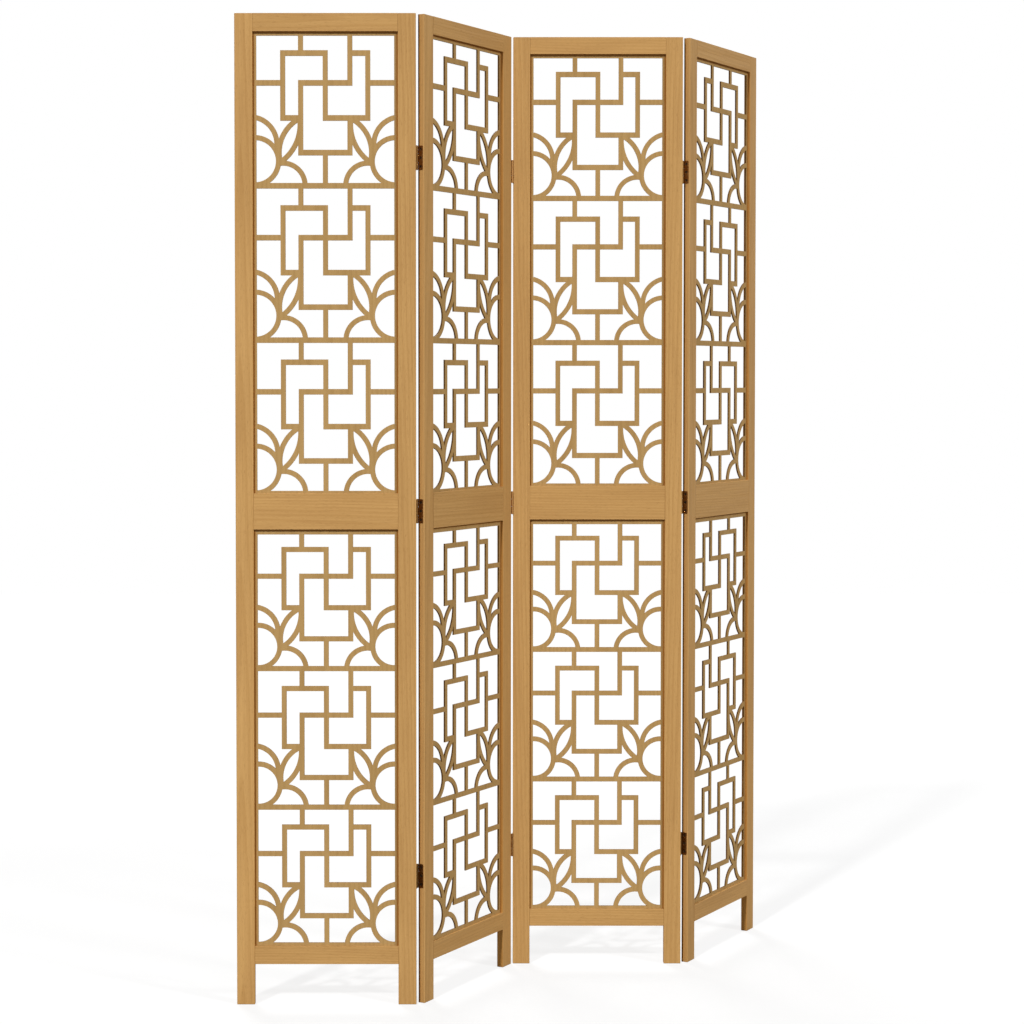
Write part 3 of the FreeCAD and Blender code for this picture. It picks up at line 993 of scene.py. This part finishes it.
@dataclass
class JaliSheet:
    """One pierced sheet: the CAD outline with its arcs made smoother, softened arrises and dark sawn walls.

    Its opening is the window in the frame, as its lowest and highest (u, z).
    """

    node: str
    opening: tuple[tuple[float, float], tuple[float, float]]
    arris: float = 0.28 * MM
    arris_points: int = 3
    mitre_floor: float = 0.5
    corner_turn: float = math.radians(28.0)
    straight_ratio: float = 2.2
    arc_step: float = math.radians(4.5)
    most_steps: int = 6
    same_point: float = 0.001 * MM
    face_reach: float = 0.01 * MM
    least_gap: float = 1e-7
    sharp: float = 35.0
    merge: float = 0.0005 * MM
    trunk: Trunk = Trunk(deep=(0.05, 0.09), tone=(0.96, 1.04))

    @staticmethod
    def previous(after: np.ndarray) -> np.ndarray:
        """Turns an outline round.

        Args:
            after: The number of the point after each.

        Returns:
            The number of the point before each.
        """
        before = np.empty_like(after)
        before[after] = np.arange(len(after))
        return before

    def outline(self, place: PanelPlace) -> tuple[np.ndarray, np.ndarray, tuple[float, float]]:
        """Reads the outline of the sheet's front face from its CAD node.

        The outline is the edges that one triangle of the front face has and no other, with the wood on the
        left of each.

        Args:
            place: The panel's place.

        Returns:
            The outline's points as (u, z), the number of the point after each, and the sheet's two faces
            in v.
        """
        mesh = frame["nodes"][self.node].data
        corners = np.empty(len(mesh.loops), dtype=np.int64)
        mesh.loops.foreach_get("vertex_index", corners)
        local = place.to_panel(PieceMaker.points_of(mesh))
        front, back = local[:, 1].min(), local[:, 1].max()
        rounded = np.round(local / self.same_point)
        _, first, same = np.unique(rounded, axis=0, return_index=True, return_inverse=True)
        triangles = same.ravel()[corners].reshape(-1, 3)
        points = local[first]
        on_front = (points[triangles][:, :, 1] < front + self.face_reach).all(axis=1)
        triangles = triangles[on_front]
        start = triangles.ravel()
        end = np.roll(triangles, -1, axis=1).ravel()
        count = len(points)
        alone = ~np.isin(start * count + end, end * count + start)
        start, end = start[alone], end[alone]
        used, start_number = np.unique(start, return_inverse=True)
        after = np.empty(len(used), dtype=np.int64)
        after[start_number] = np.searchsorted(used, end)
        return points[used][:, [0, 2]], after, (float(front), float(back))

    def refine(self, points: np.ndarray, after: np.ndarray) -> tuple[np.ndarray, np.ndarray]:
        """Puts more points on the outline's arcs.

        At each end, an edge leaves its arc's tangent by an angle. It is half the turn there between edges
        of like length, the whole turn next to a much longer edge, nothing in an edge that is itself the
        longer, and at a corner the same as at the other end. The new points stand off the edge by its
        length times the mean angle times f * (1 - f), where f is how far along the edge they are.

        Args:
            points: The outline's points.
            after: The number of the point after each.

        Returns:
            The finer outline's points and the number of the point after each.
        """
        before = self.previous(after)
        edge = points[after] - points
        size = np.linalg.norm(edge, axis=1)
        heading = np.arctan2(edge[:, 1], edge[:, 0])
        turn = (heading - heading[before] + math.pi) % (2.0 * math.pi) - math.pi
        ratio = size / size[before]
        longer, shorter = ratio > self.straight_ratio, ratio < 1.0 / self.straight_ratio
        share_after = np.select([longer, shorter], [0.0, 1.0], 0.5)
        corner = np.abs(turn) > self.corner_turn
        start_angle = np.where(corner, np.nan, turn * share_after)
        end_angle = np.where(corner, np.nan, turn * (1.0 - share_after))[after]
        start_filled = np.where(np.isnan(start_angle), np.nan_to_num(end_angle), start_angle)
        end_filled = np.where(np.isnan(end_angle), np.nan_to_num(start_angle), end_angle)
        mean = (start_filled + end_filled) / 2.0
        mean = np.where(np.sign(start_filled) * np.sign(end_filled) < 0.0, 0.0, mean)
        steps = np.clip(np.ceil(2.0 * np.abs(mean) / self.arc_step), 1, self.most_steps).astype(np.int64)
        owner = np.repeat(np.arange(len(points)), steps)
        first = np.concatenate([[0], np.cumsum(steps)[:-1]])
        share = (np.arange(len(owner)) - first[owner]) / steps[owner]
        outward = np.column_stack([edge[:, 1], -edge[:, 0]])
        finer = points[owner] + share[:, None] * edge[owner]
        finer += outward[owner] * (mean[owner] * share * (1.0 - share))[:, None]
        following = np.arange(1, len(owner) + 1)
        following[first + steps - 1] = first[after]
        return finer, following

    def flat_face(self, rim: np.ndarray, after: np.ndarray) -> np.ndarray:
        """Fills the sheet's face between its rims with triangles.

        A triangle of the Delaunay mesh belongs to the sheet if a line from its middle crosses the rims an odd
        number of times.

        Args:
            rim: The rim's points as (u, z).
            after: The number of the point after each.

        Returns:
            The triangles, counter-clockwise as seen from the front.
        """
        scaled = rim / MM
        edges = np.column_stack([np.arange(len(rim)), after]).tolist()
        result = delaunay_2d_cdt([Vector(p) for p in scaled.tolist()], edges, [], 0, self.least_gap, True)
        found = np.array([tuple(p) for p in result[0]])
        origin = np.array([ids[0] if ids else -1 for ids in result[3]])
        triangles = np.array(result[2])
        middle = found[triangles].mean(axis=1)
        a, b = scaled, scaled[after]
        spans = (a[None, :, 1] > middle[:, None, 1]) != (b[None, :, 1] > middle[:, None, 1])
        slope = (b[:, 0] - a[:, 0]) / np.where(b[:, 1] == a[:, 1], 1.0, b[:, 1] - a[:, 1])
        crossing = a[None, :, 0] + (middle[:, None, 1] - a[None, :, 1]) * slope[None, :]
        inside = (spans & (crossing > middle[:, None, 0])).sum(axis=1) % 2 == 1
        numbers = origin[triangles[inside]]
        if (numbers < 0).any():
            raise ValueError(f"{self.node}: the face has a point that is not on the rim")
        corner = scaled[numbers]
        area = np.cross(corner[:, 1] - corner[:, 0], corner[:, 2] - corner[:, 0])
        return np.where((area > 0.0)[:, None], numbers, numbers[:, ::-1])

    def rings(self, rim: np.ndarray, after: np.ndarray, faces: tuple[float, float]) -> np.ndarray:
        """Sweeps the softened edge round every outline.

        The edge's section is a quarter circle at each arris: at the angle a it stands arris * (1 - sin a)
        into the wood and arris * (1 - cos a) below the face. Mitred normals carry it round the outline.

        Args:
            rim: The outline's points as (u, z).
            after: The number of the point after each.
            faces: The places of the front and of the back face in v.

        Returns:
            The edge from the front face to the back one, as rings by points by (u, v, z).
        """
        edge = rim[after] - rim
        edge /= np.linalg.norm(edge, axis=1)[:, None]
        into = np.column_stack([-edge[:, 1], edge[:, 0]])
        both = into + into[self.previous(after)]
        mitre = both / np.maximum((both**2).sum(axis=1) / 2.0, self.mitre_floor)[:, None]
        angle = np.linspace(0.0, QUARTER_TURN, self.arris_points)
        inset = self.arris * (1.0 - np.sin(angle))
        sunk = self.arris * (1.0 - np.cos(angle))
        insets = np.concatenate([inset, inset[::-1]])
        depths = np.concatenate([faces[0] + sunk, faces[1] - sunk[::-1]])[:, None]
        flat = rim + insets[:, None, None] * mitre
        return np.stack(np.broadcast_arrays(flat[:, :, 0], depths, flat[:, :, 1]), axis=2)

    def dress(self, mesh: bpy.types.Mesh, local: np.ndarray) -> None:
        """Marks the wood's grain, and each point's place in the opening as (u, z) from its middle.

        Args:
            mesh: The sheet's mesh.
            local: Its points in the panel's frame.
        """
        offset, tone = self.trunk.cut(self.node)
        low, high = np.array(self.opening)
        middle = (low + high) / 2.0
        half_height = np.full(len(local), (high[1] - low[1]) / 2.0)
        none = np.zeros(len(local))
        # The place in the opening sets where shade is painted on the sheet.
        PieceMaker.mark(
            mesh, grain=local[:, [2, 0, 1]] - [0.0, middle[0], 0.0] + offset,
            opening=np.column_stack([local[:, [0, 2]] - middle, half_height]),
            wear=none, end_grain=none, tone=np.full(len(local), tone))

    def build(self, place: PanelPlace, body: str, finishes: Finishes) -> bpy.types.Object:
        """Joins the edge's rings with quads and closes both faces. The walls between the arrises are sawn.

        Args:
            place: The panel's place.
            body: The CAD body that the sheet moves with.
            finishes: The screen's finishes.

        Returns:
            The sheet.
        """
        coarse, coarse_after, faces = self.outline(place)
        rim, after = self.refine(coarse, coarse_after)
        rings = self.rings(rim, after, faces)
        local = rings.reshape(-1, 3)
        number = np.arange(len(local)).reshape(rings.shape[:2])
        here, beyond = number[:-1], number[1:]
        walls = np.stack([here, beyond, beyond[:, after], here[:, after]], axis=2).reshape(-1, 4)
        face = self.flat_face(rings[0][:, [0, 2]], after)
        blocks = [walls, face, face[:, ::-1] + number[-1, 0]]
        mesh = PieceMaker.mesh(self.node.replace("panel", "jali"), place.to_frame(local), blocks)
        sawn = np.zeros(here.shape, dtype=np.int32)
        sawn[1:-1] = 1
        index = np.concatenate([sawn.ravel(), np.zeros(2 * len(face), dtype=np.int32)])
        mesh.polygons.foreach_set("material_index", index)
        self.dress(mesh, local)
        PieceMaker.tidy(mesh, self.sharp, self.merge)
        materials = [finishes.sheet, finishes.sawn_edge]
        return PieceMaker.weigh(PieceMaker.place(mesh, materials, body, "lattice_wood", [self.node]))


@dataclass
class Hardware:
    """A hinge part or a group of screws: the CAD shape, merged, with its edges broken by a fine bevel."""

    node: str
    name: str
    slot: str
    break_edge: float = 0.12 * MM
    bevel_from: float = math.radians(28.0)
    bevel_segments: int = 2
    # How the brighter outward side, wear from hands and a painted highlight, fades in around the pin.
    rubbed_depth: float = 1.2 * MM
    rubbed_at_pin: float = 0.5
    merge: float = 0.001 * MM
    flat_turn: float = math.radians(0.5)
    sharp: float = 32.0

    def rub(self, mesh: bpy.types.Mesh, pin: tuple[float, float], outward: tuple[float, float]) -> None:
        """Marks the outward side of the knuckles, worn by hands and given a painted highlight.

        The mark is the distance outward from the pin, divided by its depth and shifted so that it grows from
        0 behind the pin to 1 a little way outward.

        Args:
            mesh: The piece's mesh.
            pin: The pin's place in (x, y).
            outward: The unit direction that leads away from both panels.
        """
        reach = (PieceMaker.points_of(mesh)[:, :2] - np.array(pin)) @ np.array(outward)
        PieceMaker.mark(mesh, rubbed=np.clip(reach / self.rubbed_depth + self.rubbed_at_pin, 0.0, 1.0))

    def build(self, body: str, finish: bpy.types.Material, pin: tuple[float, float] = (0.0, 0.0),
              outward: tuple[float, float] = (0.0, 0.0)) -> bpy.types.Object:
        """Copies the CAD mesh, merges its loose triangles, makes flat faces whole and bevels the edges.

        Args:
            body: The CAD body that it moves with.
            finish: Its finish.
            pin: The hinge pin's place in (x, y).
            outward: The unit direction away from both panels, or nothing for a piece that isn't a hinge's.

        Returns:
            The piece.
        """
        work = bmesh.new()
        work.from_mesh(frame["nodes"][self.node].data)
        bmesh.ops.remove_doubles(work, verts=work.verts, dist=self.merge)
        bmesh.ops.dissolve_limit(work, angle_limit=self.flat_turn, verts=work.verts, edges=work.edges)
        mesh = bpy.data.meshes.new(self.name)
        work.to_mesh(mesh)
        work.free()
        for layer in [x.name for x in mesh.attributes if x.name == "custom_normal"]:
            mesh.attributes.remove(mesh.attributes[layer])
        mesh.materials.clear()
        mesh.polygons.foreach_set("material_index", np.zeros(len(mesh.polygons), dtype=np.int32))
        PieceMaker.shade(mesh, self.sharp)
        # Only a hinge's leaves get the mark for wear and a painted highlight.
        if any(outward):
            self.rub(mesh, pin, outward)
        piece = PieceMaker.place(mesh, [finish], body, self.slot, [self.node])
        bevel = piece.modifiers.new("broken_edge", "BEVEL")
        bevel.width = self.break_edge
        bevel.segments = self.bevel_segments
        bevel.limit_method = "ANGLE"
        bevel.angle_limit = self.bevel_from
        bevel.use_clamp_overlap = True
        bevel.harden_normals = False
        return PieceMaker.weigh(piece)


@dataclass
class PinSet:
    """The three pins on one hinge line, turned with a domed head at each end."""

    line: str
    shank: float = 0.9 * MM
    head: float = 1.5 * MM
    around: int = 24
    dome_start: float = 0.06
    dome_rings: int = 6
    sharp: float = 50.0

    def build(self, joint: dict, body: str, finish: bpy.types.Material) -> bpy.types.Object:
        """Turns the pins: a radius for each height, carried round the pin's axis.

        A head's dome is a quarter ellipse: at the angle a its radius is head * sin a and its height above the
        knuckle is rise * cos a.

        Args:
            joint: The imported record's joint, whose axis the pins are on.
            body: The CAD body that the pins move with.
            finish: Their finish.

        Returns:
            The three pins as one piece.
        """
        blocks, points = [], []
        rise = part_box(f"hinge_{self.line}_bottom_left_leaf")[0].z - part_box(f"hinge_{self.line}_pins")[0].z
        turn = np.arange(self.around) * (2.0 * math.pi / self.around)
        angle = np.linspace(self.dome_start, QUARTER_TURN, self.dome_rings)
        dome_radius, dome_height = self.head * np.sin(angle), rise * np.cos(angle)
        radius = np.concatenate([dome_radius, [self.shank, self.shank], dome_radius[::-1]])[:, None]
        pin_x, pin_y = joint["pos_m"][:2]
        x, y = pin_x + radius * np.cos(turn), pin_y + radius * np.sin(turn)
        for number, level in enumerate(LEVELS):
            leaf_low, leaf_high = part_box(f"hinge_{self.line}_{level}_left_leaf")
            height = np.concatenate([leaf_low.z - dome_height, [leaf_low.z, leaf_high.z],
                                     leaf_high.z + dome_height[::-1]])[:, None]
            ring = np.stack(np.broadcast_arrays(x, y, height), axis=2)
            blocks += PieceMaker.tube(number * x.size + np.arange(x.size).reshape(x.shape))
            points.append(ring.reshape(-1, 3))
        mesh = PieceMaker.mesh(f"pin_set_{self.line}", np.concatenate(points), blocks)
        PieceMaker.tidy(mesh, self.sharp)
        return PieceMaker.place(mesh, [finish], body, "pin_steel", [f"hinge_{self.line}_pins"])


@dataclass
class ScreenPanel:
    """One panel: two stiles, three rails, two pierced sheets, the hidden dowels and the hinge screws."""

    place: PanelPlace
    finishes: Finishes
    side_clear: float = 0.1 * MM
    end_clear: float = 0.5 * MM
    stile_arris: float = 0.8 * MM
    stile_ease: float = 0.8 * MM
    rail_arris: float = 0.25 * MM
    rail_ease: float = 0.15 * MM
    screw_break: float = 0.06 * MM

    @staticmethod
    def span(name: str) -> tuple[np.ndarray, np.ndarray]:
        """A CAD node's box in the first panel's own frame, which has no turn.

        Args:
            name: The node's name without its panel.

        Returns:
            The lowest and the highest corner.
        """
        corner = np.array(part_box("panel_1_left_stile")[0])
        low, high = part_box(f"panel_1_{name}")
        return np.array(low) - corner, np.array(high) - corner

    def grooves(self, run: Run, width: tuple[float, float]) -> list[Groove]:
        """Finds the grooves that hold the sheets' edges in one board.

        A groove's floor stands off the sheet's edge by the end clearance, and its walls off the sheet's faces
        by the side clearance. A stile's grooves stop beyond each sheet, and a rail's run through.

        Args:
            run: Which way the board runs.
            width: The board's width in the panel's frame.

        Returns:
            The grooves.
        """
        found = []
        for sheet in ("lower_lattice", "upper_lattice"):
            low, high = (corner.tolist() for corner in self.span(sheet))
            walls = (low[1] - self.side_clear, high[1] + self.side_clear)
            axis = 0 if run is Run.UPRIGHT else 2
            start, stop = low[2] - self.end_clear, high[2] + self.end_clear
            for edge, reach, floor in ((Edge.HIGH, low[axis], low[axis] - self.end_clear),
                                       (Edge.LOW, high[axis], high[axis] + self.end_clear)):
                if width[0] < reach < width[1]:
                    found.append(Groove(edge, start, stop, floor, walls, run is Run.UPRIGHT))
        return found

    def board(self, name: str) -> Board:
        """Measures one board from its CAD node.

        Args:
            name: The board's name without its panel.

        Returns:
            The board.
        """
        low, high = (corner.tolist() for corner in self.span(name))
        upright = name.endswith("stile")
        run = Run.UPRIGHT if upright else Run.LEVEL
        along, wide = (2, 0) if upright else (0, 2)
        width = (low[wide], high[wide])
        return Board(
            node=f"panel_{self.place.number}_{name}", run=run, length=(low[along], high[along]),
            width=width, thickness=high[1] - low[1], grooves=self.grooves(run, width),
            arris=self.stile_arris if upright else self.rail_arris,
            end_ease=self.stile_ease if upright else self.rail_ease)

    def build(self) -> None:
        """Builds and dresses every piece. The dowels, which never show, keep their CAD solids."""
        number = self.place.number
        body = body_of(f"panel_{number}_left_stile")
        for name in ("left_stile", "right_stile", "top_rail", "mid_rail", "bottom_rail"):
            self.board(name).build(self.place, body, self.finishes.board)
        left, right = float(self.span("left_stile")[1][0]), float(self.span("right_stile")[0][0])
        for name, below, above in (("upper_lattice", "mid_rail", "top_rail"),
                                   ("lower_lattice", "bottom_rail", "mid_rail")):
            sill, head = float(self.span(below)[1][2]), float(self.span(above)[0][2])
            sheet = JaliSheet(f"panel_{number}_{name}", ((left, sill), (right, head)))
            sheet.build(self.place, body, self.finishes)
        screws = Hardware(
            f"panel_{number}_hinge_screws", f"screw_set_{number}", "screw_metal", self.screw_break)
        screws.build(body, self.finishes.screw)
        dowels = frame["nodes"][f"panel_{number}_dowels"]
        dowels.data.materials.clear()
        dowels.data.materials.append(self.finishes.dowel)
        LOG.info("%s keep their solids", dowels.name)


@dataclass
class FoldingScreen:
    """The whole screen: four panels and the three hinge lines between them."""

    finishes: Finishes
    hinge_line: HingeLine = HingeLine()

    def build(self) -> None:
        """Builds the panels from left to right, then the hinges between them.

        The way out from a hinge line is the mean of its two panels' turns, on the side where its pin stands.
        """
        places = self.hinge_line.places(frame["joints"])
        for place in places:
            LOG.info("panel %d stands turned by %.0f degrees", place.number, math.degrees(place.angle))
            ScreenPanel(place, self.finishes).build()
        for joint, before, after in zip(frame["joints"], places, places[1:]):
            line = joint["name"].split("_")[1]
            mean = (before.angle + after.angle) / 2.0
            side_out = math.copysign(1.0, joint["axis"][2])
            # The leaves are brighter on this side: wear from hands and a painted highlight.
            outward = (-math.sin(mean) * side_out, math.cos(mean) * side_out)
            for level, side in ((level, side) for level in LEVELS for side in ("left", "right")):
                node = f"hinge_{line}_{level}_{side}_leaf"
                leaf = Hardware(node, f"leaf_{line}_{level}_{side}", "hinge_bronze")
                leaf.build(body_of(node), self.finishes.bronze, tuple(joint["pos_m"][:2]), outward)
            PinSet(line).build(joint, body_of(f"hinge_{line}_pins"), self.finishes.pin)


@dataclass(frozen=True)
class CameraStand:
    """The photograph's view: a long lens a little left of the screen's middle, tilted slightly down."""

    place: tuple[float, float, float] = (-0.0825, -4.0907, 1.0489)
    tilt: float = 1.823
    lens: float = 80.908
    sensor: float = 36.0
    shift: tuple[float, float] = (0.0452, -0.06)

    def build(self) -> bpy.types.Object:
        """Sets up the scene's camera.

        Returns:
            The camera.
        """
        data = bpy.data.cameras.new("photo_view")
        data.lens, data.sensor_width = self.lens, self.sensor
        data.shift_x, data.shift_y = self.shift
        camera = linked("photo_view", data)
        camera.location = self.place
        camera.rotation_euler = (math.radians(90.0 - self.tilt), 0.0, 0.0)
        bpy.context.scene.camera = camera
        return camera


@dataclass(frozen=True)
class StudioLamp:
    """One broad soft lamp, whose bearing, height and spread are in degrees."""

    name: str
    bearing: float
    height: float
    strength: float
    spread: float
    distance: float = 4.0

    def build(self) -> bpy.types.Object:
        """Hangs the lamp. A bearing of 0 is in front of the screen and grows to the right.

        Returns:
            The lamp.
        """
        data = bpy.data.lights.new(self.name, "SUN")
        data.energy = self.strength * math.pi
        data.angle = math.radians(self.spread)
        lamp = linked(self.name, data)
        turn, rise = math.radians(self.bearing), math.radians(self.height)
        level = math.cos(rise)
        direction = Vector((math.sin(turn) * level, -math.cos(turn) * level, math.sin(rise)))
        lamp.location = direction * self.distance
        lamp.rotation_euler = (-direction).to_track_quat("-Z", "Y").to_euler()
        return lamp


@dataclass(frozen=True)
class Studio:
    """A plain pale studio: a white floor, an even sky, and soft lamps at both front sides and behind."""

    floor_side: float = 14.0
    floor_colour: Colour = (0.26, 0.26, 0.255)
    floor_seen: Colour = (0.22, 0.22, 0.22)
    floor_glow: float = 0.73
    floor_roughness: float = 0.9
    ambient: float = 0.345
    lamps: tuple[StudioLamp, ...] = (
        StudioLamp("soft_key", -27.2, 39.0, 0.68, 4.0),
        StudioLamp("soft_fill", 55.0, 30.0, 0.45, 8.0),
        StudioLamp("soft_back", 200.0, 40.0, 0.55, 20.0),
    )

    def floor(self) -> bpy.types.Object:
        """Lays the floor, which the camera sees white but for the screen's soft shadow.

        Returns:
            The floor.
        """
        square = np.array([[-1.0, -1.0, 0.0], [1.0, -1.0, 0.0], [1.0, 1.0, 0.0], [-1.0, 1.0, 0.0]])
        corners = square * self.floor_side / 2.0
        mesh = PieceMaker.mesh("studio_floor", corners, [np.array([[0, 1, 2, 3]])])
        floor = linked("studio_floor", mesh)
        sketch = ShaderSketch("pale_floor")
        seen = sketch.node("ShaderNodeLightPath").outputs["Is Camera Ray"]
        mesh.materials.append(sketch.surface(
            Base_Color=sketch.blend(seen, self.floor_colour, self.floor_seen), Roughness=self.floor_roughness,
            Specular_IOR_Level=0.0, Emission_Color=WHITE,
            Emission_Strength=sketch.calc("MULTIPLY", seen, self.floor_glow)))
        return floor

    def sky(self) -> None:
        """Sets the world: an even soft light, and plain white where the camera or a reflection sees it."""
        world = bpy.data.worlds.new("studio_sky")
        world.use_nodes = True
        tree = world.node_tree
        tree.nodes.clear()
        rays = tree.nodes.new("ShaderNodeLightPath").outputs
        seen = rays["Is Camera Ray"]
        for name in ("Is Glossy Ray", "Is Transmission Ray"):
            total = tree.nodes.new("ShaderNodeMath")
            total.operation, total.use_clamp = "ADD", True
            tree.links.new(seen, total.inputs[0])
            tree.links.new(rays[name], total.inputs[1])
            seen = total.outputs[0]
        mix = tree.nodes.new("ShaderNodeMixShader")
        tree.links.new(seen, mix.inputs[0])
        for socket, strength in ((mix.inputs[1], self.ambient), (mix.inputs[2], 1.0)):
            sky = tree.nodes.new("ShaderNodeBackground")
            sky.inputs["Color"].default_value = (*WHITE, 1.0)
            sky.inputs["Strength"].default_value = strength
            tree.links.new(sky.outputs[0], socket)
        tree.links.new(mix.outputs[0], tree.nodes.new("ShaderNodeOutputWorld").inputs[0])
        bpy.context.scene.world = world

    def build(self) -> None:
        """Sets up the floor, the sky, the lamps and the plain colour management."""
        self.floor()
        self.sky()
        for lamp in self.lamps:
            lamp.build()
        bpy.context.scene.view_settings.view_transform = "Standard"


def main() -> None:
    logging.basicConfig(level=logging.INFO, format="%(name)s: %(message)s")
    CameraStand().build()
    Studio().build()
    FoldingScreen(Finishes.mixed()).build()
    bpy.context.view_layer.update()


if __name__ == "__main__":
    main()
